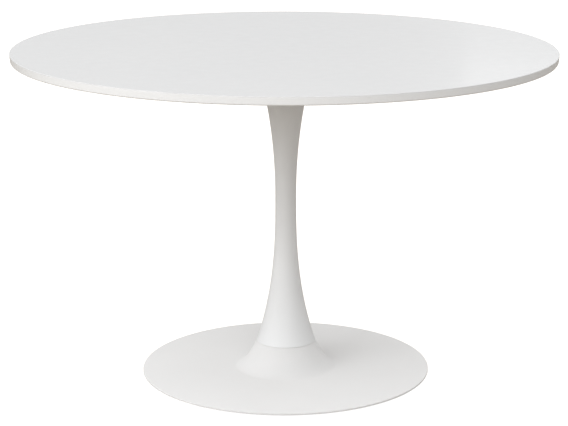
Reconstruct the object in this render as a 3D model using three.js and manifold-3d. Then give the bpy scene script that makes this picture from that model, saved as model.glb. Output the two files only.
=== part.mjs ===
// Round pedestal table: a lacquered fibreboard top on a trumpet column, which one rod clamps to a round base.
// Millimetres, +Z up. The origin is on the floor, under the middle of the table.
import * as THREE from "three";
import { mergeVertices } from "three/addons/utils/BufferGeometryUtils.js";
import Module from "manifold-3d";

const wasm = await Module();
wasm.setup();

// Driving dimensions
const TABLE_HEIGHT = 740;
const TOP = { radius: 600, thick: 18, undercut: 2, arris: 1.5, lowerArris: 3.5 };
const BASE = { radius: 326, thick: 4.5, arris: 1.5 };
const HUB = { top: 67.4, radius: 66.7, footRadius: 118, flare: 0.47, wall: 4.5, steps: 6 };
const COLUMN = { waist: 400, waistRadius: 23.5, wall: 3 };
const FLARE_UP = { spread: 41.7, power: 2.15 }; // how the column widens from its waist to its mouth
const FLARE_DOWN = { spread: 43.2, power: 2.55 }; // and from its waist to its foot
const SEAM_RING = { thick: 0.8, inset: 0.4, width: 6 };
const LOCATOR = { height: 12, wall: 6 }; // ring on the hub that centres the column's foot
const TOP_PLATE = { radius: 135, thick: 4, dishDepth: 22, dishCorner: 2 };
const PAD = { count: 8, radius: 15, thick: 2.5, circle: 296, arris: 0.6 };
const SCREW = { count: 8, circle: 115, shankRadius: 2.5, length: 16, tipChamfer: 1 };
const SCREW_HEAD = { radius: 5.6, height: 3.4, faceRadius: 3.47, shoulderRadius: 5.21, shoulderDrop: 1.53 };
const SOCKET = { acrossFlats: 4, depth: 2.2 };
const WASHER = { radius: 7, hole: 3.3, thick: 1.2 };
const INSERT = { radius: 4.8, hole: 2.8, length: 13 };
const ROD = { radius: 5.7, chamfer: 1, proud: 3 }; // proud of each nut
const ROD_WASHER = { radius: 20, hole: 6.5, thick: 3 };
const SPRING_WASHER = { radius: 10.5, hole: 6.3, thick: 2.5 };
const NUT = { acrossFlats: 19, hole: 6, thick: 10 };
const GAP = 0.3; // paint films and running clearances between separate pieces
const SLIP = 1; // clearance of the pieces that plug into the column
const OVERRUN = 1; // how far a drill runs past the face it enters
const SAME = 1e-3; // vertices closer than this are one
const ROUND = 64; // sides of the large turned pieces
const MIDDLE = 40; // sides of the column and the plates that meet it
const SMALL = 12; // sides of the small turned pieces

// Heights that follow from them
const topUnderside = TABLE_HEIGHT - TOP.thick;
const plateTop = topUnderside - GAP;
const plateUnderside = plateTop - TOP_PLATE.thick;
const columnTop = plateUnderside - GAP;
const baseUnderside = PAD.thick + GAP;
const baseTop = baseUnderside + BASE.thick;
const columnFoot = HUB.top + SEAM_RING.thick + 2 * GAP;

// Materials
const lacquer = new THREE.MeshStandardMaterial({ color: 0xe9ebea, roughness: 0.28, metalness: 0 });
const columnPaint = new THREE.MeshStandardMaterial({ color: 0xe6e6e4, roughness: 0.38, metalness: 0 });
const powderCoat = new THREE.MeshStandardMaterial({ color: 0xe8e8e6, roughness: 0.45, metalness: 0 });
const zincPlate = new THREE.MeshStandardMaterial({ color: 0xc4c6c8, roughness: 0.35, metalness: 1 });
const whitePlastic = new THREE.MeshStandardMaterial({ color: 0xdedfdd, roughness: 0.5, metalness: 0 });
const feltGrey = new THREE.MeshStandardMaterial({ color: 0xb9b8b4, roughness: 0.95, metalness: 0 });

const point = (r, z) => new THREE.Vector2(r, z);

// An outline of (radius, height) points turned about the Z axis. One that is off the axis is closed here.
function turned(outline, sides) {
  const onAxis = outline[0].x === 0;
  const closed = onAxis ? outline : [...outline, outline[0].clone()];
  return new THREE.LatheGeometry(closed, sides).rotateX(Math.PI / 2);
}

// Points of a quarter-round arris about a centre, from one direction to the next.
function arris(centreR, centreZ, radius, fromAngle) {
  const steps = 3;
  return Array.from({ length: steps + 1 }, (_, i) => {
    const angle = fromAngle + (i * Math.PI) / 2 / steps;
    return point(centreR + radius * Math.cos(angle), centreZ + radius * Math.sin(angle));
  });
}

// A flat ring or washer: hole and outer radius, from one height up to another.
function ring(hole, radius, bottom, top, sides = SMALL) {
  return turned([point(hole, bottom), point(radius, bottom), point(radius, top), point(hole, top)], sides);
}

// A washer of a given kind lying on a height.
function washerOn(bottom, { hole, radius, thick }) {
  return ring(hole, radius, bottom, bottom + thick);
}

function solidOf(geometry) {
  const bare = geometry.index ? geometry.toNonIndexed() : geometry.clone();
  bare.deleteAttribute("normal");
  bare.deleteAttribute("uv");
  const merged = mergeVertices(bare, SAME);
  return new wasm.Manifold(
    new wasm.Mesh({
      numProp: 3,
      vertProperties: merged.attributes.position.array,
      triVerts: new Uint32Array(merged.index.array),
    }),
  );
}

function geometryOf(solid) {
  const mesh = solid.getMesh();
  const geometry = new THREE.BufferGeometry();
  geometry.setAttribute("position", new THREE.BufferAttribute(mesh.vertProperties, 3));
  geometry.setIndex(new THREE.BufferAttribute(mesh.triVerts, 1));
  geometry.computeVertexNormals();
  return geometry;
}

// The first geometry with all the others cut away from it.
function cut(geometry, cutters) {
  return geometryOf(cutters.reduce((solid, cutter) => solid.subtract(solidOf(cutter)), solidOf(geometry)));
}

// A prism standing on the Z axis from one height up to another.
function prism(radius, bottom, top, sides = SMALL) {
  return new THREE.CylinderGeometry(radius, radius, top - bottom, sides)
    .rotateX(Math.PI / 2)
    .translate(0, 0, (top + bottom) / 2);
}

// A hexagonal prism of a width across its flats.
function hexPrism(acrossFlats, bottom, top) {
  return prism(acrossFlats / Math.sqrt(3), bottom, top, 6);
}

const table = new THREE.Group();

function add(name, geometry, material, x = 0, y = 0) {
  const mesh = new THREE.Mesh(geometry, material);
  mesh.name = name;
  mesh.position.set(x, y, 0);
  table.add(mesh);
}

// Places on a circle around the column, evenly spaced, the first a half step round from +X.
function aroundCircle(circle, count) {
  return Array.from({ length: count }, (_, i) => {
    const angle = ((i + 0.5) * 2 * Math.PI) / count;
    return { number: i + 1, x: circle * Math.cos(angle), y: circle * Math.sin(angle) };
  });
}
const screwPlaces = aroundCircle(SCREW.circle, SCREW.count);

// Column: outer radius at a height. It narrows to a waist and flares towards both ends.
function columnRadius(z) {
  const above = z > COLUMN.waist;
  const end = above ? columnTop : columnFoot;
  const flare = above ? FLARE_UP : FLARE_DOWN;
  const share = (z - COLUMN.waist) / (end - COLUMN.waist);
  return COLUMN.waistRadius + flare.spread * share ** flare.power;
}

// Table top: a disc with softened arrises, a slightly undercut edge and blind holes for the insert nuts.
function tableTop() {
  const { radius, undercut, arris: soft, lowerArris } = TOP;
  const outline = [
    point(0, topUnderside),
    ...arris(radius - undercut - lowerArris, topUnderside + lowerArris, lowerArris, -Math.PI / 2),
    ...arris(radius - soft, TABLE_HEIGHT - soft, soft, 0),
    point(0, TABLE_HEIGHT),
  ];
  const holes = screwPlaces.map(({ x, y }) =>
    prism(INSERT.radius + GAP, topUnderside - OVERRUN, topUnderside + INSERT.length + GAP).translate(x, y, 0),
  );
  return cut(turned(outline, ROUND), holes);
}

// Top plate: a pressed disc under the top. Its dish centres it in the column's mouth and holds the upper nut.
function topPlate() {
  const { radius, thick, dishDepth, dishCorner } = TOP_PLATE;
  const floorTop = plateTop - dishDepth;
  const floorUnderside = floorTop - thick;
  const mouth = columnRadius(columnTop) - COLUMN.wall - SLIP;
  const throat = columnRadius(floorUnderside) - COLUMN.wall - SLIP;
  const outline = [
    point(ROD_WASHER.hole, floorUnderside),
    point(throat - dishCorner, floorUnderside),
    point(throat, floorUnderside + dishCorner),
    point(mouth, plateUnderside),
    point(radius, plateUnderside),
    point(radius, plateTop),
    point(mouth - thick, plateTop),
    point(throat - thick, floorTop),
    point(ROD_WASHER.hole, floorTop),
  ];
  const holes = screwPlaces.map(({ x, y }) =>
    prism(WASHER.hole, plateUnderside - OVERRUN, plateTop + OVERRUN).translate(x, y, 0),
  );
  return cut(turned(outline, MIDDLE), holes);
}

// Column: a trumpet shell with a wall of even thickness and a flat land at each end.
function column() {
  const steps = 16;
  const rise = (columnTop - columnFoot) / steps;
  const heights = Array.from({ length: steps + 1 }, (_, i) => columnFoot + rise * i);
  const outside = heights.map((z) => point(columnRadius(z), z));
  const inside = heights.map((z) => point(columnRadius(z) - COLUMN.wall, z)).reverse();
  return turned([...outside, ...inside], MIDDLE);
}

// Base: a pressed steel disc whose hub flares up to carry the column; the hub is hollow and open underneath.
function basePlate() {
  const { radius, thick, arris: soft } = BASE;
  const bend = HUB.radius + HUB.flare * (HUB.top - baseTop);
  const flank = new THREE.QuadraticBezierCurve(
    point(HUB.footRadius, baseTop),
    point(bend, baseTop),
    point(HUB.radius, HUB.top),
  );
  const lining = new THREE.QuadraticBezierCurve(
    point(HUB.radius - HUB.wall, HUB.top - HUB.wall),
    point(bend - HUB.wall, baseTop - thick),
    point(HUB.footRadius - HUB.wall, baseTop - thick),
  );
  const outline = [
    point(radius, baseUnderside),
    ...arris(radius - soft, baseTop - soft, soft, 0),
    ...flank.getPoints(HUB.steps),
    point(ROD_WASHER.hole, HUB.top),
    point(ROD_WASHER.hole, HUB.top - HUB.wall),
    ...lining.getPoints(HUB.steps),
  ];
  return turned(outline, ROUND);
}

// Button-head socket screw, head down, its shank up through the plate into an insert nut.
function screw() {
  const { radius, height, faceRadius, shoulderRadius, shoulderDrop } = SCREW_HEAD;
  const underHead = plateUnderside - WASHER.thick - 2 * GAP;
  const face = underHead - height;
  const tip = underHead + SCREW.length;
  const outline = [
    point(0, face),
    point(faceRadius, face),
    point(shoulderRadius, underHead - shoulderDrop),
    point(radius, underHead),
    point(SCREW.shankRadius, underHead),
    point(SCREW.shankRadius, tip - SCREW.tipChamfer),
    point(SCREW.shankRadius - SCREW.tipChamfer, tip),
    point(0, tip),
  ];
  return cut(turned(outline, SMALL), [hexPrism(SOCKET.acrossFlats, face - OVERRUN, face + SOCKET.depth)]);
}

function hexNut(bottom) {
  const top = bottom + NUT.thick;
  return cut(hexPrism(NUT.acrossFlats, bottom, top), [prism(NUT.hole, bottom - OVERRUN, top + OVERRUN)]);
}

// Adhesive glide under the rim of the base, with a softened lower edge.
function footPad() {
  const { radius, thick, arris: soft } = PAD;
  const outline = [
    point(0, 0),
    point(radius - soft, 0),
    point(radius, soft),
    point(radius, thick),
    point(0, thick),
  ];
  return turned(outline, SMALL);
}

// Threaded rod, chamfered at both ends.
function tieRod(bottom, top) {
  const { radius, chamfer } = ROD;
  const outline = [
    point(0, bottom),
    point(radius - chamfer, bottom),
    point(radius, bottom + chamfer),
    point(radius, top - chamfer),
    point(radius - chamfer, top),
    point(0, top),
  ];
  return turned(outline, SMALL);
}

add("table_top", tableTop(), lacquer);
add("top_plate", topPlate(), powderCoat);
add("column", column(), columnPaint);
add("base_plate", basePlate(), powderCoat);

const seamRadius = HUB.radius - SEAM_RING.inset;
const seamRing = ring(seamRadius - SEAM_RING.width, seamRadius, HUB.top + GAP, columnFoot - GAP, MIDDLE);
add("seam_ring", seamRing, whitePlastic);

// Locating ring: stands on the hub inside the column's foot.
const locatorTop = HUB.top + LOCATOR.height;
const locatorRadius = columnRadius(columnFoot + LOCATOR.height) - COLUMN.wall - SLIP;
const locatingRing = ring(locatorRadius - LOCATOR.wall, locatorRadius, HUB.top + GAP, locatorTop, MIDDLE);
add("locating_ring", locatingRing, zincPlate);

// Upper clamp: washer, spring washer and nut stacked in the top plate's dish.
const upperWasher = plateTop - TOP_PLATE.dishDepth + GAP;
const upperSpring = upperWasher + ROD_WASHER.thick + GAP;
const upperNut = upperSpring + SPRING_WASHER.thick + GAP;
add("upper_rod_washer", washerOn(upperWasher, ROD_WASHER), zincPlate);
add("upper_spring_washer", washerOn(upperSpring, SPRING_WASHER), zincPlate);
add("upper_rod_nut", hexNut(upperNut), zincPlate);

// Lower clamp: the same stack, hanging under the hub's web.
const lowerWasher = HUB.top - HUB.wall - GAP - ROD_WASHER.thick;
const lowerSpring = lowerWasher - GAP - SPRING_WASHER.thick;
const lowerNut = lowerSpring - GAP - NUT.thick;
add("lower_rod_washer", washerOn(lowerWasher, ROD_WASHER), zincPlate);
add("lower_spring_washer", washerOn(lowerSpring, SPRING_WASHER), zincPlate);
add("lower_rod_nut", hexNut(lowerNut), zincPlate);

add("tie_rod", tieRod(lowerNut - ROD.proud, upperNut + NUT.thick + ROD.proud), zincPlate);

const insertBottom = topUnderside + GAP;
const insertTop = topUnderside + INSERT.length;
const screwWasher = plateUnderside - GAP - WASHER.thick;
for (const { number, x, y } of screwPlaces) {
  add(`insert_nut_${number}`, ring(INSERT.hole, INSERT.radius, insertBottom, insertTop), zincPlate, x, y);
  add(`top_screw_${number}`, screw(), zincPlate, x, y);
  add(`screw_washer_${number}`, washerOn(screwWasher, WASHER), zincPlate, x, y);
}
for (const { number, x, y } of aroundCircle(PAD.circle, PAD.count)) {
  add(`foot_pad_${number}`, footPad(), feltGrey, x, y);
}

export default table;
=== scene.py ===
"""Looks of the round pedestal table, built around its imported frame. Metres, +Z up, origin on the floor."""
import functools
import math

import bmesh
import bpy
from mathutils import Euler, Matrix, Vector, noise


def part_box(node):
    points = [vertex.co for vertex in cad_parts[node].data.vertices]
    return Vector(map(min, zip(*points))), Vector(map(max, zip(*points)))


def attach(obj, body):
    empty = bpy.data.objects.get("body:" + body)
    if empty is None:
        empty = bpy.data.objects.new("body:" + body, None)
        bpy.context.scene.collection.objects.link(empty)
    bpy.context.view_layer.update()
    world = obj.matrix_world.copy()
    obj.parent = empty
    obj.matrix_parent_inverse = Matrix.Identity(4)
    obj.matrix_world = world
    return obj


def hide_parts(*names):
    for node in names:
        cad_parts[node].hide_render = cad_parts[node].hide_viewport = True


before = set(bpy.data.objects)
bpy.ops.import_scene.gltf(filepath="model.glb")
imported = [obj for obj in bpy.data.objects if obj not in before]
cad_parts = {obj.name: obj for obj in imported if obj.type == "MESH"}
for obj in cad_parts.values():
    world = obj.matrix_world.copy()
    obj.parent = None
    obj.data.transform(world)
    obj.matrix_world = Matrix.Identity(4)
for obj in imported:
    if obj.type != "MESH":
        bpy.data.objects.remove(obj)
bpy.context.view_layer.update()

MM = 0.001
BODY = "root"
FINE = 256  # sides of the top and the base
MIDDLE = 144  # sides of the column and of the plate and rings that meet it
SMALL = 48  # sides of nuts, washers, the rod and holes; a multiple of six, so that hexagons come out sharp
SHARP_ANGLE = math.radians(32)
SAME_PLACE = 1e-9  # points closer than this lie in one place
WELD = 0.002 * MM  # points that a cut leaves closer than this become one
OVERRUN = 1 * MM  # how far a cutter runs past the face it enters


# ---------------------------------------------------------------- camera

CAMERA_PLACE = Vector((0, -4.006, 1.361))
CAMERA_PITCH = math.radians(13.95)  # looking down
CAMERA_HEADING = math.radians(-1.79)  # turned to the right
CAMERA_ROLL = math.radians(0.38)
CAMERA_LENS_MM = 116.2
CAMERA_SENSOR_MM = 36
CAMERA_SHIFT_X = -0.101
CAMERA_CLIP = (0.1, 100)


def make_camera():
    data = bpy.data.cameras.new("camera")
    data.lens = CAMERA_LENS_MM
    data.sensor_width = CAMERA_SENSOR_MM
    data.shift_x = CAMERA_SHIFT_X
    data.clip_start, data.clip_end = CAMERA_CLIP
    camera = bpy.data.objects.new("camera", data)
    bpy.context.scene.collection.objects.link(camera)
    heading = Euler((0, 0, CAMERA_HEADING)).to_matrix()
    pitch = Euler((math.pi / 2 - CAMERA_PITCH, 0, 0)).to_matrix()
    roll = Euler((0, 0, CAMERA_ROLL)).to_matrix()
    camera.matrix_world = (heading @ pitch @ roll).to_4x4()
    camera.location = CAMERA_PLACE
    bpy.context.scene.camera = camera


# ---------------------------------------------------------------- mesh building


def skin(name, rings, joined=False):
    """A closed mesh over rings of equally many points. The last ring is joined to the first, or else both
    ends are capped. A ring whose points all lie in one place, on the axis, becomes one vertex."""
    mesh = bmesh.new()
    rows = []
    for ring in rings:
        point_like = all((point - ring[0]).length < SAME_PLACE for point in ring)
        rows.append([mesh.verts.new(point) for point in (ring[:1] if point_like else ring)])
    pairs = list(zip(rows, rows[1:]))
    if joined:
        pairs.append((rows[-1], rows[0]))
    for lower, upper in pairs:
        sides = max(len(lower), len(upper))
        for i in range(sides):
            j = (i + 1) % sides
            low_i, low_j = lower[i % len(lower)], lower[j % len(lower)]
            up_i, up_j = upper[i % len(upper)], upper[j % len(upper)]
            corners = list(dict.fromkeys((low_i, low_j, up_j, up_i)))
            if len(corners) > 2:
                mesh.faces.new(corners)
    if not joined:
        for row in (rows[0], rows[-1]):
            if len(row) > 2:
                mesh.faces.new(row)
    bmesh.ops.recalc_face_normals(mesh, faces=mesh.faces)
    return object_from(name, mesh)


def shade(mesh):
    """Smooth shading, broken at sharp edges."""
    for face in mesh.faces:
        face.smooth = True
    for edge in mesh.edges:
        edge.smooth = edge.calc_face_angle(0) < SHARP_ANGLE


def object_from(name, mesh):
    shade(mesh)
    data = bpy.data.meshes.new(name)
    mesh.to_mesh(data)
    mesh.free()
    made = bpy.data.objects.new(name, data)
    bpy.context.scene.collection.objects.link(made)
    return made


def around(sides):
    return [2 * math.pi * i / sides for i in range(sides)]


def plain(row, radius, height, angle):
    """The shape of a piece that is round all the way up."""
    return radius


def turned(name, outline, sides=SMALL, joined=False, centre=(0, 0), shape=plain):
    """An outline of (radius, height) points turned about an upright axis. shape gives the radius of a row
    of the outline at an angle; rows on the axis stay there."""
    centre_x, centre_y = centre
    rings = []
    for row, (radius, height) in enumerate(outline):
        ring = []
        for angle in around(sides):
            reach = shape(row, radius, height, angle) if radius else 0
            x = centre_x + reach * math.cos(angle)
            y = centre_y + reach * math.sin(angle)
            ring.append(Vector((x, y, height)))
        rings.append(ring)
    return skin(name, rings, joined)


def rounded(corners, joined=False, steps=6, guard=0.6 * MM):
    """The outline through (radius, height, fillet) corners. A point stands guard past each end of a fillet,
    so that the flat beside it stays flat under smooth shading."""
    outline = []
    count = len(corners)
    for i, (radius, height, fillet) in enumerate(corners):
        corner = Vector((radius, height))
        if not fillet or (not joined and i in (0, count - 1)):
            outline.append(corner)
            continue
        back = (Vector(corners[i - 1][:2]) - corner).normalized()
        ahead = (Vector(corners[(i + 1) % count][:2]) - corner).normalized()
        half = back.angle(ahead) / 2
        reach = fillet / math.tan(half)
        middle = corner + (back + ahead).normalized() * (fillet / math.sin(half))
        start = corner + back * reach - middle
        end = corner + ahead * reach - middle
        turn = math.atan2(start.x * end.y - start.y * end.x, start.dot(end))
        begin = math.atan2(start.y, start.x)
        outline.append(corner + back * (reach + guard))
        for step in range(steps + 1):
            angle = begin + turn * step / steps
            outline.append(middle + Vector((math.cos(angle), math.sin(angle))) * fillet)
        outline.append(corner + ahead * (reach + guard))
    return outline


def bezier(start, middle, end, steps):
    """Points of the curve that leaves start towards middle and reaches end coming from middle."""
    start, middle, end = Vector(start), Vector(middle), Vector(end)
    points = []
    for step in range(steps + 1):
        t = step / steps
        points.append(start * (1 - t) ** 2 + middle * 2 * t * (1 - t) + end * t**2)
    return points


def hexagon(across_flats, angle):
    """Distance from the axis to the side of a hexagon at an angle."""
    sixth = math.pi / 3
    return across_flats / 2 / math.cos((angle + sixth / 2) % sixth - sixth / 2)


THREAD_FLAT = 1 / 6  # share of the pitch that is flat at the crest, and again at the root


def thread_depth(height, angle, pitch):
    """How deep a vee thread is cut at a place, as a share of its depth: 0 at the crest, 1 at the root."""
    share = (height / pitch - angle / (2 * math.pi)) % 1
    from_root = abs(2 * share - 1)
    return min(1, max(0, (1 - THREAD_FLAT - from_root) / (1 - 2 * THREAD_FLAT)))


def place(piece, node, slot, *materials):
    """Gives a piece its body and its materials, and hides the CAD node it stands for. slot is not used."""
    for material in materials:
        piece.data.materials.append(material)
    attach(piece, BODY)
    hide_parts(node)


def drill(piece, cutters):
    """Cuts closed meshes out of a piece and removes them."""
    for cutter in cutters:
        cut = piece.modifiers.new("drill", "BOOLEAN")
        cut.operation = "DIFFERENCE"
        cut.solver = "MANIFOLD"
        cut.object = cutter
    bpy.context.view_layer.update()
    made = piece.evaluated_get(bpy.context.evaluated_depsgraph_get())
    cut_mesh = bmesh.new()
    cut_mesh.from_mesh(made.data)
    bmesh.ops.remove_doubles(cut_mesh, verts=cut_mesh.verts, dist=WELD)
    shade(cut_mesh)
    piece.modifiers.clear()
    cut_mesh.to_mesh(piece.data)
    cut_mesh.free()
    for cutter in cutters:
        bpy.data.objects.remove(cutter)


def bore(centre, radius, bottom, top):
    """A cutter for a round hole."""
    outline = [(0, bottom), (radius, bottom), (radius, top), (0, top)]
    return turned("cutter", outline, centre=centre)


@functools.lru_cache(maxsize=None)
def box(node):
    """The lowest and highest corner of a CAD node, read once."""
    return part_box(node)


def middle_of(node):
    low, high = box(node)
    return ((low.x + high.x) / 2, (low.y + high.y) / 2)


def radius_of(node):
    low, high = box(node)
    return (high.x - low.x) / 2


def numbers_of(stem):
    """The numbers that end the names of the CAD nodes of one kind."""
    return sorted(int(node.removeprefix(stem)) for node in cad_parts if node.startswith(stem))


# ---------------------------------------------------------------- materials


class Finish:
    """A procedural material: a Principled shader with its nodes added one at a time."""

    def __init__(self, name, **sockets):
        self.material = bpy.data.materials.new(name)
        self.material.use_nodes = True
        self.tree = self.material.node_tree
        self.shader = next(node for node in self.tree.nodes if node.type == "BSDF_PRINCIPLED")
        for socket, value in sockets.items():
            self.shader.inputs[socket.replace("_", " ")].default_value = value
        self.place = self.tree.nodes.new("ShaderNodeTexCoord").outputs["Object"]

    def stretched(self, scale):
        node = self.tree.nodes.new("ShaderNodeMapping")
        node.inputs["Scale"].default_value = scale
        self.tree.links.new(self.place, node.inputs["Vector"])
        return node.outputs["Vector"]

    def noise(self, per_metre, detail=3, roughness=0.5, place=None):
        node = self.tree.nodes.new("ShaderNodeTexNoise")
        node.inputs["Scale"].default_value = per_metre
        node.inputs["Detail"].default_value = detail
        node.inputs["Roughness"].default_value = roughness
        self.tree.links.new(place or self.place, node.inputs["Vector"])
        return node.outputs["Fac"]

    def between(self, factor, low, high, start=0.3, end=0.7):
        """A colour or a number that runs from low to high as the factor runs from start to end."""
        node = self.tree.nodes.new("ShaderNodeValToRGB")
        stops = node.color_ramp.elements
        for stop, position, value in ((stops[0], start, low), (stops[1], end, high)):
            stop.position = position
            stop.color = (*value, 1) if hasattr(value, "__len__") else (value, value, value, 1)
        self.tree.links.new(factor, node.inputs["Fac"])
        return node.outputs["Color"]

    def multiplied(self, first, second):
        node = self.tree.nodes.new("ShaderNodeMix")
        node.data_type = "RGBA"
        node.blend_type = "MULTIPLY"
        node.inputs["Factor"].default_value = 1
        self.tree.links.new(first, node.inputs["A"])
        self.tree.links.new(second, node.inputs["B"])
        return node.outputs["Result"]

    def bump(self, height, depth, strength, over=None):
        node = self.tree.nodes.new("ShaderNodeBump")
        node.inputs["Strength"].default_value = strength
        node.inputs["Distance"].default_value = depth
        self.tree.links.new(height, node.inputs["Height"])
        if over:
            self.tree.links.new(over, node.inputs["Normal"])
        return node.outputs["Normal"]

    def feed(self, socket, output):
        self.tree.links.new(output, self.shader.inputs[socket])


CLOUD_DARK, CLOUD_LIGHT = 0.985, 1.01  # how far the clouds in a paint stray from its own tone


def grey(value, warmth=0.0):
    """A near-white, as linear red, green and blue; warmth moves it towards cream."""
    return (value * (1 + warmth), value, value * (1 - warmth))


def lacquer_coat(name, value, warmth):
    """Sprayed satin lacquer: even, with a trace of orange peel under a thin clear coat."""
    finish = Finish(name, IOR=1.5, Coat_Weight=0.35, Coat_Roughness=0.12)
    clouds = finish.noise(per_metre=2.2, detail=4)
    flecks = finish.noise(per_metre=260, detail=2)
    dark = grey(value * CLOUD_DARK, warmth - 0.002)
    light = grey(value * CLOUD_LIGHT, warmth + 0.002)
    colour = finish.multiplied(finish.between(clouds, dark, light), finish.between(flecks, 0.985, 1.0))
    finish.feed("Base Color", colour)
    finish.feed("Roughness", finish.between(finish.noise(per_metre=35, detail=6), 0.3, 0.38))
    peel = finish.bump(finish.noise(per_metre=420, detail=2), depth=0.02 * MM, strength=0.35)
    waves = finish.noise(per_metre=40, detail=1)
    finish.feed("Normal", finish.bump(waves, depth=0.05 * MM, strength=0.2, over=peel))
    return finish.material


def underside_paint():
    """A thin, dull coat over fibreboard, with the fibres showing through."""
    finish = Finish("underside_paint", IOR=1.5)
    fibres = finish.noise(per_metre=900, detail=5, roughness=0.7)
    clouds = finish.noise(per_metre=5, detail=5)
    tone = finish.between(clouds, grey(0.7, 0.008), grey(0.74, 0.006))
    finish.feed("Base Color", finish.multiplied(tone, finish.between(fibres, 0.96, 1.0)))
    finish.feed("Roughness", finish.between(fibres, 0.5, 0.68))
    finish.feed("Normal", finish.bump(fibres, depth=0.06 * MM, strength=0.5))
    return finish.material


def powder_coat(name, value, warmth, roughness, grain_per_metre, grain_depth, chalkiness=0):
    """Baked powder paint: a fine pebbled grain over a soft orange peel. A chalky one looks flatter in light
    from the side."""
    finish = Finish(name, IOR=1.5, Diffuse_Roughness=chalkiness)
    pebbles = finish.noise(grain_per_metre, detail=3, roughness=0.6)
    clouds = finish.noise(per_metre=4, detail=4)
    tone = finish.between(clouds, grey(value * CLOUD_DARK, warmth), grey(value * CLOUD_LIGHT, warmth))
    finish.feed("Base Color", finish.multiplied(tone, finish.between(pebbles, 0.97, 1.0)))
    finish.feed("Roughness", finish.between(pebbles, roughness - 0.05, roughness + 0.06))
    grain = finish.bump(pebbles, grain_depth, strength=0.5)
    waves = finish.noise(grain_per_metre / 6, detail=1)
    finish.feed("Normal", finish.bump(waves, grain_depth * 1.5, strength=0.35, over=grain))
    return finish.material


def zinc():
    """Bright zinc on drawn steel: fine turned lines, cloudy blue-grey passivation."""
    finish = Finish("zinc_plate", Metallic=1.0)
    clouds = finish.noise(per_metre=90, detail=5, roughness=0.65)
    lines = finish.noise(per_metre=350, detail=4, place=finish.stretched((1, 1, 9)))
    finish.feed("Base Color", finish.between(clouds, (0.5, 0.52, 0.55), (0.66, 0.66, 0.65)))
    finish.feed("Roughness", finish.between(clouds, 0.24, 0.42))
    finish.feed("Normal", finish.bump(lines, depth=0.02 * MM, strength=0.6))
    return finish.material


def moulded_plastic():
    """White plastic with the fine grain of its mould."""
    finish = Finish("white_plastic", IOR=1.46)
    grain = finish.noise(per_metre=1500, detail=3)
    clouds = finish.noise(per_metre=30, detail=3)
    finish.feed("Base Color", finish.between(clouds, grey(0.8, 0.004), grey(0.86, 0.004)))
    finish.feed("Roughness", finish.between(grain, 0.45, 0.6))
    finish.feed("Normal", finish.bump(grain, depth=0.02 * MM, strength=0.5))
    return finish.material


def felt():
    """Needled grey felt: a tangle of pale and dark fibres."""
    finish = Finish("pad_felt", Sheen_Weight=0.4, Sheen_Roughness=0.6, IOR=1.4)
    tangle = finish.noise(per_metre=1600, detail=7, roughness=0.75)
    strands = finish.noise(per_metre=700, detail=5, place=finish.stretched((1, 3.5, 1)))
    tone = finish.between(strands, (0.3, 0.295, 0.285), (0.52, 0.51, 0.5))
    finish.feed("Base Color", finish.multiplied(tone, finish.between(tangle, 0.7, 1.0)))
    finish.feed("Roughness", finish.between(tangle, 0.85, 1.0))
    finish.feed("Normal", finish.bump(tangle, depth=0.3 * MM, strength=0.9))
    return finish.material


# ---------------------------------------------------------------- top, column and base

TOP_ARRIS = 1.5 * MM
TOP_LOWER_ARRIS = 3.5 * MM
TOP_UNDERCUT = 2 * MM
UNDERSIDE_DEPTH = 0.1 * MM  # faces no higher than this above the underside carry its paint
FACE, UNDERSIDE, EDGE = range(3)  # the top's materials: the face's lacquer, the underside's paint, and a lighter copy of the face's lacquer on the edge band as painted light
INSERT_HOLE_CLEARANCE = 0.2 * MM

COLUMN_WAIST_HEIGHT = 400 * MM
COLUMN_WAIST_RADIUS = 23.5 * MM
COLUMN_TOP_POWER = 2.15
COLUMN_FOOT_FLARE = 43.2 * MM
COLUMN_FOOT_POWER = 2.55
COLUMN_WALL = 3 * MM
COLUMN_ROWS = 120
COLUMN_LIP = 0.4 * MM  # softening of the outer edge at each end
LIP_BEND, LIP_WALL = 0.3, 0.1  # how far in a lip's bend and its last point lie, as shares of its size

HUB_FLARE = 0.47  # how fast the hub widens just under the column, per unit of height
HUB_FOOT_RADIUS = 118 * MM
HUB_LIP = 0.5 * MM
HUB_STEPS = 40
BASE_SHEET = 4.5 * MM
BASE_ARRIS = 1.5 * MM
BASE_LOWER_ARRIS = 0.9 * MM
ROD_HOLE = 6.5 * MM

screw_numbers = numbers_of("top_screw_")
pad_numbers = numbers_of("foot_pad_")


def make_top(face, underside, edge):
    low, high = box("table_top")
    corners = [
        (0, low.z, 0),
        (high.x - TOP_UNDERCUT, low.z, TOP_LOWER_ARRIS),
        (high.x, high.z, TOP_ARRIS),
        (0, high.z, 0),
    ]
    top = turned("table_top_panel", rounded(corners), FINE)
    cutters = []
    for number in screw_numbers:
        insert = f"insert_nut_{number}"
        radius = radius_of(insert) + INSERT_HOLE_CLEARANCE
        depth = box(insert)[1].z + INSERT_HOLE_CLEARANCE
        cutters.append(bore(middle_of(insert), radius, low.z - OVERRUN, depth))
    place(top, "table_top", "top_lacquer", face, underside, edge)
    drill(top, cutters)
    # The edge band takes the lighter copy of the face's lacquer, which is painted light that makes the band
    # bright. The upper arris keeps the face's darker copy, a painted shade that damps its highlight.
    for polygon in top.data.polygons:
        height, radius = polygon.center.z, polygon.center.xy.length
        if height < low.z + UNDERSIDE_DEPTH:
            polygon.material_index = UNDERSIDE
        elif height < high.z - TOP_ARRIS and radius > high.x - TOP_UNDERCUT - TOP_LOWER_ARRIS:
            polygon.material_index = EDGE
        else:
            polygon.material_index = FACE


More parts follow.
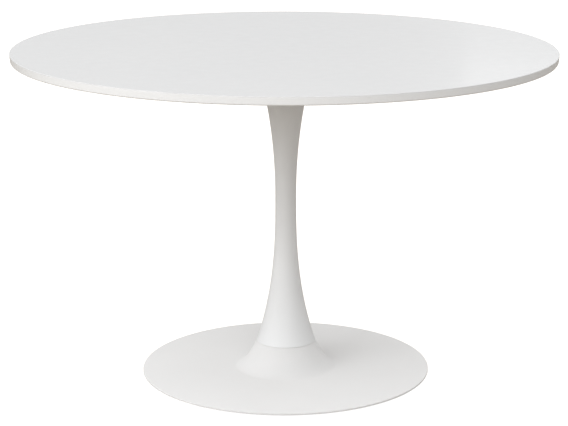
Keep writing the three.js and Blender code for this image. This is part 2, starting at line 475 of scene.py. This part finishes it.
def column_radius(height):
    low, high = box("column")
    if height > COLUMN_WAIST_HEIGHT:
        share = (height - COLUMN_WAIST_HEIGHT) / (high.z - COLUMN_WAIST_HEIGHT)
        return COLUMN_WAIST_RADIUS + (high.x - COLUMN_WAIST_RADIUS) * share**COLUMN_TOP_POWER
    share = (COLUMN_WAIST_HEIGHT - height) / (COLUMN_WAIST_HEIGHT - low.z)
    return COLUMN_WAIST_RADIUS + COLUMN_FOOT_FLARE * share**COLUMN_FOOT_POWER


def column_end(height, inward):
    """The softened outer edge of an end, from its face out to the wall. inward is 1 at the foot and -1 at
    the mouth."""
    radius = column_radius(height)
    return [
        Vector((radius - COLUMN_LIP, height)),
        Vector((radius - COLUMN_LIP * LIP_BEND, height + inward * COLUMN_LIP * LIP_BEND)),
        Vector((radius - COLUMN_LIP * LIP_WALL, height + inward * COLUMN_LIP)),
    ]


def make_column(material):
    low, high = box("column")
    heights = [low.z + (high.z - low.z) * i / COLUMN_ROWS for i in range(COLUMN_ROWS + 1)]
    foot = column_end(low.z, 1)
    outside = [Vector((column_radius(height), height)) for height in heights[1:-1]]
    mouth = column_end(high.z, -1)[::-1]
    inside = [Vector((column_radius(height) - COLUMN_WALL, height)) for height in reversed(heights)]
    column = turned("column_shell", foot + outside + mouth + inside, MIDDLE, joined=True)
    place(column, "column", "column_paint", material)


def make_base(material):
    """The pressed base: a flat disc that rises in the middle into a hollow hub."""
    low, high = box("base_plate")
    rim, hub = high.x, column_radius(box("column")[0].z)
    sheet_top = low.z + BASE_SHEET
    bend = hub + HUB_FLARE * (high.z - sheet_top)
    corners = [
        (HUB_FOOT_RADIUS, low.z, 0),
        (rim, low.z, BASE_LOWER_ARRIS),
        (rim, sheet_top, BASE_ARRIS),
        (HUB_FOOT_RADIUS, sheet_top, 0),
    ]
    edge = rounded(corners)[1:-1]
    flank = bezier((HUB_FOOT_RADIUS, sheet_top), (bend, sheet_top), (hub, high.z - HUB_LIP), HUB_STEPS)
    shoulder = [
        Vector((hub - HUB_LIP * LIP_BEND, high.z - HUB_LIP * LIP_BEND)),
        Vector((hub - HUB_LIP, high.z)),
    ]
    web = [Vector((ROD_HOLE, high.z)), Vector((ROD_HOLE, high.z - BASE_SHEET))]
    lining = bezier(
        (hub - BASE_SHEET, high.z - BASE_SHEET),
        (bend - BASE_SHEET, low.z),
        (HUB_FOOT_RADIUS - BASE_SHEET, low.z),
        HUB_STEPS,
    )
    base = turned("base_pressing", edge + flank + shoulder + web + lining, FINE, joined=True)
    place(base, "base_plate", "base_powder_coat", material)


# ---------------------------------------------------------------- top plate, its screws and inserts

PLATE_GAP = 0.3 * MM  # between the plate and the column's mouth
DISH_CLEARANCE = 1 * MM
PLATE_EDGE = 0.8 * MM  # fillets of the rim
PLATE_HOLE_EDGE = 0.4 * MM
DISH_FLOOR_BENDS = (5 * MM, 2 * MM)  # radii under and over the sheet
DISH_MOUTH_BENDS = (3 * MM, 6 * MM)
PLATE_GUARD = 0.2 * MM

SCREW_HOLE = 3.3 * MM
SCREW_HEAD_HEIGHT = 3.4 * MM
SCREW_SOCKET = 4 * MM  # across the flats
SOCKET_DEPTH = 0.6  # as a share of the head's height
SOCKET_CONE = 0.3 * MM  # how much deeper its floor is in the middle
SOCKET_CHAMFER = 0.25 * MM
SOCKET_MOUTH = 0.62  # radius of the chamfer at the face, as a share of the width across the flats
DOME_START, DOME_BEND = 0.66, 0.97  # radii where the head's rounding starts and bends, as shares of its own
DOME_END = 0.42  # height where the rounding ends, as a share of the head's radius
DOME_STEPS = 8
HEAD_RIM = (0.15 * MM, 0.2 * MM)  # chamfer under the head: in and down
NECK_INSET, NECK_RISE = 0.1 * MM, 0.6 * MM
SCREW_CREST = 2.95 * MM
SCREW_THREAD = 0.55 * MM  # depth
SCREW_PITCH = 1 * MM
SCREW_THREAD_START = 0.9 * MM  # above the head
SCREW_TIP = 0.6 * MM
SCREW_TIP_RADIUS = 0.78  # as a share of the crest's
SCREW_ROWS = 6  # to a turn of thread
SCREW_SIDES = 36
SCREW_WASHER_EDGE = 0.2 * MM

INSERT_BORE = 3.05 * MM
INSERT_BARB = 0.7 * MM
INSERT_PITCH = 3 * MM
INSERT_ROWS = 36
INSERT_EDGE = 0.4 * MM
INSERT_END = 0.5 * MM  # height of the chamfer at each end


def make_top_plate(material):
    """The pressed plate under the top. Its dish reaches down into the column's mouth."""
    low, high = box("top_plate")
    column_top = box("column")[1].z
    sheet = high.z - column_top - PLATE_GAP
    mouth = column_radius(column_top) - COLUMN_WALL - DISH_CLEARANCE
    throat = column_radius(low.z) - COLUMN_WALL - DISH_CLEARANCE
    corners = [
        (ROD_HOLE, low.z, PLATE_HOLE_EDGE),
        (throat, low.z, DISH_FLOOR_BENDS[0]),
        (mouth, high.z - sheet, DISH_MOUTH_BENDS[0]),
        (high.x, high.z - sheet, PLATE_EDGE),
        (high.x, high.z, PLATE_EDGE),
        (mouth - sheet, high.z, DISH_MOUTH_BENDS[1]),
        (throat - sheet, low.z + sheet, DISH_FLOOR_BENDS[1]),
        (ROD_HOLE, low.z + sheet, PLATE_HOLE_EDGE),
    ]
    outline = rounded(corners, joined=True, guard=PLATE_GUARD)
    plate = turned("top_plate_pressing", outline, MIDDLE, joined=True)
    cutters = []
    for number in screw_numbers:
        cutters.append(bore(middle_of(f"top_screw_{number}"), SCREW_HOLE, low.z, high.z + OVERRUN))
    place(plate, "top_plate", "plate_powder_coat", material)
    drill(plate, cutters)


def make_screw(number, material):
    """Button-head socket screw, head down."""
    node = f"top_screw_{number}"
    low, high = box(node)
    head = radius_of(node)
    under_head = low.z + SCREW_HEAD_HEIGHT
    socket_floor = low.z + SCREW_HEAD_HEIGHT * SOCKET_DEPTH
    outline = [
        (0, socket_floor + SOCKET_CONE),
        (SCREW_SOCKET / 2, socket_floor),
        (SCREW_SOCKET / 2, low.z + SOCKET_CHAMFER),
        (SCREW_SOCKET * SOCKET_MOUTH, low.z),
    ]
    hexagonal = (1, 2)  # rows of the socket's walls
    dome_start, dome_bend = (head * DOME_START, low.z), (head * DOME_BEND, low.z)
    outline += bezier(dome_start, dome_bend, (head, low.z + head * DOME_END), DOME_STEPS)
    rim_in, rim_down = HEAD_RIM
    outline += [
        (head, under_head - rim_down),
        (head - rim_in, under_head),
        (SCREW_CREST, under_head),
        (SCREW_CREST - NECK_INSET, under_head + NECK_RISE),
    ]
    thread_bottom, thread_top = under_head + SCREW_THREAD_START, high.z - SCREW_TIP
    rows = int((thread_top - thread_bottom) / SCREW_PITCH * SCREW_ROWS) + 1
    threaded = range(len(outline), len(outline) + rows)
    outline += [(SCREW_CREST, thread_bottom + SCREW_PITCH * i / SCREW_ROWS) for i in range(rows)]
    outline += [(SCREW_CREST * SCREW_TIP_RADIUS, high.z), (0, high.z)]

    def shape(row, radius, height, angle):
        if row in hexagonal:
            return hexagon(SCREW_SOCKET, angle)
        if row in threaded:
            return radius - SCREW_THREAD * thread_depth(height, angle, SCREW_PITCH)
        return radius

    screw = turned(f"button_screw_{number}", outline, SCREW_SIDES, centre=middle_of(node), shape=shape)
    place(screw, node, "zinc_plate", material)


def make_insert(number, material):
    """Threaded insert for fibreboard: a smooth bore for the screw and coarse barbs outside."""
    node = f"insert_nut_{number}"
    low, high = box(node)
    outside = radius_of(node)
    barbed = high.z - low.z - 2 * INSERT_END
    wall = [(outside, low.z + INSERT_END + barbed * i / INSERT_ROWS) for i in range(INSERT_ROWS + 1)]
    lower_end = [(INSERT_BORE + INSERT_EDGE, low.z), (outside - INSERT_EDGE, low.z)]
    upper_end = [(outside - INSERT_EDGE, high.z), (INSERT_BORE, high.z), (INSERT_BORE, low.z + INSERT_EDGE)]

    def shape(row, radius, height, angle):
        if radius == outside:
            return radius - INSERT_BARB * thread_depth(height, angle, INSERT_PITCH)
        return radius

    insert = turned(
        f"threaded_insert_{number}",
        lower_end + wall + upper_end,
        SCREW_SIDES,
        joined=True,
        centre=middle_of(node),
        shape=shape,
    )
    place(insert, node, "zinc_plate", material)


# ---------------------------------------------------------------- rod, its nuts and washers, and rings

ROD_CREST = 5.9 * MM
ROD_THREAD = 0.9 * MM  # depth
ROD_PITCH = 1.75 * MM
ROD_THREAD_LENGTH = 45 * MM
ROD_ROWS = 8  # to a turn of thread
ROD_TIP = 1 * MM  # chamfer
ROD_RUNOUT = 1 * MM
ROD_SHANK = ROD_CREST - 0.55 * ROD_THREAD

NUT_FLATS = 19 * MM
NUT_FACE = 0.52 * NUT_FLATS  # radius of the round face inside the chamfer
NUT_CHAMFER_SLOPE = 1.9  # radius gained per unit of height
NUT_ROWS = 24
NUT_CLEARANCE = 0.05 * MM
NUT_THREAD = 0.8 * ROD_THREAD  # cut outwards, clear of the rod's

SPRING_CLEARANCE = 0.4 * MM
SPRING_RISE = 0.3 * MM  # from one end to the other
SPRING_EDGE = 0.25 * MM
SPRING_GAP = math.radians(7)
SPRING_SLANT = 0.12  # radians that the saw cut leans, so its faces are not radial
SPRING_STEPS = 72

CLAMP_WASHER_EDGE = 0.3 * MM
SEAM_RING_WIDTH = 6 * MM
SEAM_RING_EDGE = 0.15 * MM
LOCATING_RING_WALL = 6 * MM
LOCATING_RING_EDGE = 0.6 * MM
GUARD_SHARE = 0.2  # a small fillet's guard, as a share of its radius


def make_tie_rod(material):
    """Steel rod with a rolled thread at each end and a plain shank between them."""
    low, high = box("tie_rod")
    step = ROD_PITCH / ROD_ROWS
    rows = int(ROD_THREAD_LENGTH / step)
    lower = [(ROD_CREST, low.z + ROD_TIP + step * i) for i in range(rows + 1)]
    upper = [(ROD_CREST, high.z - ROD_TIP - step * i) for i in range(rows, -1, -1)]
    shank = [(ROD_SHANK, lower[-1][1] + ROD_RUNOUT), (ROD_SHANK, upper[0][1] - ROD_RUNOUT)]
    lower_end = [(0, low.z), (ROD_CREST - ROD_TIP, low.z)]
    upper_end = [(ROD_CREST - ROD_TIP, high.z), (0, high.z)]

    def shape(row, radius, height, angle):
        if radius == ROD_CREST:
            return radius - ROD_THREAD * thread_depth(height, angle, ROD_PITCH)
        return radius

    rod = turned("clamping_rod", lower_end + lower + shank + upper + upper_end, shape=shape)
    place(rod, "tie_rod", "zinc_plate", material)


def make_nut(node, material):
    """Hexagon nut with both faces chamfered and a threaded bore."""
    low, high = box(node)
    heights = [low.z + (high.z - low.z) * i / NUT_ROWS for i in range(NUT_ROWS + 1)]
    outside = []
    for height in heights:
        to_face = min(height - low.z, high.z - height)
        outside.append((NUT_FACE + NUT_CHAMFER_SLOPE * to_face, height))
    inside = [(ROD_CREST + NUT_CLEARANCE, height) for height in reversed(heights)]

    def shape(row, radius, height, angle):
        if row < len(outside):
            return min(radius, hexagon(NUT_FLATS, angle))
        return radius + NUT_THREAD * (1 - thread_depth(height, angle, ROD_PITCH))

    nut = turned(f"{node}_threaded", outside + inside, joined=True, shape=shape)
    place(nut, node, "zinc_plate", material)


def make_spring_washer(node, material):
    """Split spring washer pressed almost flat: a section swept most of the way round, rising a little."""
    low, high = box(node)
    inside, outside = ROD_CREST + SPRING_CLEARANCE, high.x
    thick = high.z - low.z - SPRING_RISE
    corners = [
        (inside, 0, SPRING_EDGE),
        (outside, 0, SPRING_EDGE),
        (outside, thick, SPRING_EDGE),
        (inside, thick, SPRING_EDGE),
    ]
    section = rounded(corners, joined=True, steps=2, guard=SPRING_EDGE * GUARD_SHARE)
    rings = []
    for step in range(SPRING_STEPS + 1):
        share = step / SPRING_STEPS
        angle = SPRING_GAP / 2 + (2 * math.pi - SPRING_GAP) * share
        slant = SPRING_SLANT if step in (0, SPRING_STEPS) else 0
        ring = []
        for radius, height in section:
            turn = angle + slant * (height / thick - 0.5)
            z = low.z + height + SPRING_RISE * share
            ring.append(Vector((radius * math.cos(turn), radius * math.sin(turn), z)))
        rings.append(ring)
    washer = skin(f"{node}_split", rings)
    place(washer, node, "zinc_plate", material)


def make_ring(piece, node, slot, material, hole, edge, sides=SMALL):
    """A flat ring with softened edges around a hole of a given radius, as tall and wide as its node."""
    low, high = box(node)
    outside = radius_of(node)
    corners = [(hole, low.z, edge), (outside, low.z, edge), (outside, high.z, edge), (hole, high.z, edge)]
    outline = rounded(corners, joined=True, steps=3, guard=edge * GUARD_SHARE)
    ring = turned(piece, outline, sides, joined=True, centre=middle_of(node))
    place(ring, node, slot, material)


# ---------------------------------------------------------------- felt pads

PAD_SIDES = 72
PAD_ARRIS = 0.9 * MM  # at the floor
PAD_UPPER_ARRIS = 0.4 * MM
PAD_GUARD = 0.3 * MM
PAD_RINGS = 5  # of points across the face
FRAY_PER_METRE = 900
FINE_FRAY_PER_METRE = 2300
FINE_FRAY_SHARE = 0.5
FRAY_INWARD = 0.012  # as a share of the distance to the middle
FRAY_UPWARD = 0.05 * MM


def make_pad(number, material):
    """Felt glide with a rounded, slightly ragged cut edge."""
    node = f"foot_pad_{number}"
    low, high = box(node)
    outside = radius_of(node)
    corners = [
        (0, low.z, 0),
        (outside, low.z, PAD_ARRIS),
        (outside, high.z, PAD_UPPER_ARRIS),
        (0, high.z, 0),
    ]
    face = [(outside * i / PAD_RINGS, low.z) for i in range(PAD_RINGS)]
    edge = rounded(corners, steps=5, guard=PAD_GUARD)[1:]
    centre = middle_of(node)
    pad = turned(f"felt_pad_{number}", face + edge, PAD_SIDES, centre=centre)
    half_way = (high.z - low.z) / 2
    for vertex in pad.data.vertices:
        coarse = noise.noise(vertex.co * FRAY_PER_METRE)
        fine = noise.noise(vertex.co * FINE_FRAY_PER_METRE)
        fray = abs(coarse + FINE_FRAY_SHARE * fine)
        vertex.co += (Vector((*centre, vertex.co.z)) - vertex.co) * FRAY_INWARD * fray
        if 0 < vertex.co.z - low.z < half_way:
            vertex.co.z += FRAY_UPWARD * fray
    place(pad, node, "pad_felt", material)


# ---------------------------------------------------------------- studio

AMBIENT = 0.64  # strength of the surround's light
FLOOR_RADIUS = 30
FLOOR_COLOUR = (0.39, 0.35, 0.3)
TABLE_MIDDLE = Vector((0, 0, 0.4))
SOFTBOX_DISTANCE = 5
LOW, WAIST_HIGH, HIGH = 9, 26, 52  # elevations of the softboxes
STRIP, PANEL, CANOPY = (5, 1.4), (3.6, 2.2), (4, 2.6)  # their sizes
SOFTBOXES = [  # name, azimuth, elevation, size, radiance
    ("front", 0, WAIST_HIGH, PANEL, 1.6),
    ("front_strip", 0, LOW, STRIP, 0.15),
    ("front_left", -50, WAIST_HIGH, PANEL, 2.7),
    ("front_left_canopy", -30, HIGH, CANOPY, 1.75),
    ("left", -100, WAIST_HIGH, PANEL, 0.6),
    ("left_strip", -90, LOW, STRIP, 0.4),
    ("back_strip", 180, LOW, STRIP, 0.25),
    ("back_right_strip", 125, LOW, STRIP, 0.6),
    ("back_right", 150, WAIST_HIGH, PANEL, 0.45),
    ("back_right_canopy", 150, HIGH, CANOPY, 0.9),
]


def make_world():
    """An even white surround that looks fully white and lights the table a little less."""
    world = bpy.data.worlds.new("studio")
    world.use_nodes = True
    bpy.context.scene.world = world
    nodes, links = world.node_tree.nodes, world.node_tree.links
    background = next(node for node in nodes if node.type == "BACKGROUND")
    background.inputs["Color"].default_value = (1, 1, 1, 1)
    path = nodes.new("ShaderNodeLightPath")
    brighter = nodes.new("ShaderNodeMath")
    brighter.operation = "MAXIMUM"
    brighter.inputs[1].default_value = AMBIENT
    links.new(path.outputs["Is Camera Ray"], brighter.inputs[0])
    links.new(brighter.outputs[0], background.inputs["Strength"])


def floor_material():
    """Pale and glowing white to the camera. Its back is clear, and so is its face to light that has come
    through its back, so a view from below sees past it."""
    material = bpy.data.materials.new("floor")
    material.use_nodes = True
    nodes, links = material.node_tree.nodes, material.node_tree.links
    nodes.clear()
    output = nodes.new("ShaderNodeOutputMaterial")
    diffuse = nodes.new("ShaderNodeBsdfDiffuse")
    diffuse.inputs["Color"].default_value = (*FLOOR_COLOUR, 1)
    glow = nodes.new("ShaderNodeEmission")
    path = nodes.new("ShaderNodeLightPath")
    both = nodes.new("ShaderNodeAddShader")
    geometry = nodes.new("ShaderNodeNewGeometry")
    clear = nodes.new("ShaderNodeBsdfTransparent")
    from_below = nodes.new("ShaderNodeMath")
    from_below.operation = "MAXIMUM"
    one_sided = nodes.new("ShaderNodeMixShader")
    links.new(path.outputs["Is Camera Ray"], glow.inputs["Strength"])
    links.new(diffuse.outputs[0], both.inputs[0])
    links.new(glow.outputs[0], both.inputs[1])
    links.new(geometry.outputs["Backfacing"], from_below.inputs[0])
    links.new(path.outputs["Transparent Depth"], from_below.inputs[1])
    links.new(from_below.outputs[0], one_sided.inputs["Fac"])
    links.new(both.outputs[0], one_sided.inputs[1])
    links.new(clear.outputs[0], one_sided.inputs[2])
    links.new(one_sided.outputs[0], output.inputs["Surface"])
    return material


def make_floor():
    """A large pale disc that shows white and bounces a little light back up."""
    mesh = bmesh.new()
    bmesh.ops.create_circle(mesh, cap_ends=True, segments=SMALL, radius=FLOOR_RADIUS)
    floor = object_from("floor", mesh)
    floor.data.materials.append(floor_material())


def softbox(name, azimuth, elevation, size, radiance):
    """A panel facing the table. Azimuth is 0 in front and grows to the right."""
    around_table, up = math.radians(azimuth), math.radians(elevation)
    x, y = math.sin(around_table) * math.cos(up), -math.cos(around_table) * math.cos(up)
    outward = Vector((x, y, math.sin(up)))
    width, height = size
    data = bpy.data.lights.new(name, "AREA")
    data.shape = "RECTANGLE"
    data.size, data.size_y = size
    data.energy = math.pi * width * height * radiance
    light = bpy.data.objects.new(name, data)
    bpy.context.scene.collection.objects.link(light)
    light.location = TABLE_MIDDLE + outward * SOFTBOX_DISTANCE
    light.rotation_euler = (-outward).to_track_quat("-Z", "Y").to_euler()


def make_studio():
    bpy.context.scene.view_settings.view_transform = "Standard"
    make_world()
    make_floor()
    for name, *settings in SOFTBOXES:
        softbox(name, *settings)


# ---------------------------------------------------------------- build

make_camera()

top_lacquer = lacquer_coat("top_lacquer", value=0.68, warmth=-0.004)
# The edge band's lacquer is the top's lacquer made lighter. This is painted light on the edge, not a
# different coat.
lit_edge_lacquer = lacquer_coat("lit_edge_lacquer", value=0.87, warmth=-0.014)
underside = underside_paint()
column_paint = powder_coat(
    "column_paint",
    value=0.87,
    warmth=-0.014,
    roughness=0.4,
    grain_per_metre=1400,
    grain_depth=0.02 * MM,
)
base_coat = powder_coat(
    "base_powder_coat",
    value=0.83,
    warmth=-0.002,
    roughness=0.55,
    grain_per_metre=1000,
    grain_depth=0.05 * MM,
    chalkiness=0.6,
)
plate_coat = powder_coat(
    "plate_powder_coat",
    value=0.74,
    warmth=0.004,
    roughness=0.5,
    grain_per_metre=1000,
    grain_depth=0.05 * MM,
)
zinc_plate = zinc()
plastic = moulded_plastic()
pad_felt = felt()

make_top(top_lacquer, underside, lit_edge_lacquer)
make_column(column_paint)
make_base(base_coat)
make_top_plate(plate_coat)
for number in screw_numbers:
    make_screw(number, zinc_plate)
    make_insert(number, zinc_plate)
    piece, node = f"flat_washer_{number}", f"screw_washer_{number}"
    make_ring(piece, node, "zinc_plate", zinc_plate, hole=SCREW_HOLE, edge=SCREW_WASHER_EDGE)
for number in pad_numbers:
    make_pad(number, pad_felt)
for end in ("upper", "lower"):
    make_nut(f"{end}_rod_nut", zinc_plate)
    make_spring_washer(f"{end}_spring_washer", zinc_plate)
    piece, node = f"{end}_clamp_washer", f"{end}_rod_washer"
    make_ring(piece, node, "zinc_plate", zinc_plate, hole=ROD_HOLE, edge=CLAMP_WASHER_EDGE)
make_tie_rod(zinc_plate)
make_ring(
    "seam_gasket",
    "seam_ring",
    "white_plastic",
    plastic,
    hole=radius_of("seam_ring") - SEAM_RING_WIDTH,
    edge=SEAM_RING_EDGE,
    sides=MIDDLE,
)
make_ring(
    "locating_collar",
    "locating_ring",
    "zinc_plate",
    zinc_plate,
    hole=radius_of("locating_ring") - LOCATING_RING_WALL,
    edge=LOCATING_RING_EDGE,
    sides=MIDDLE,
)

make_studio()
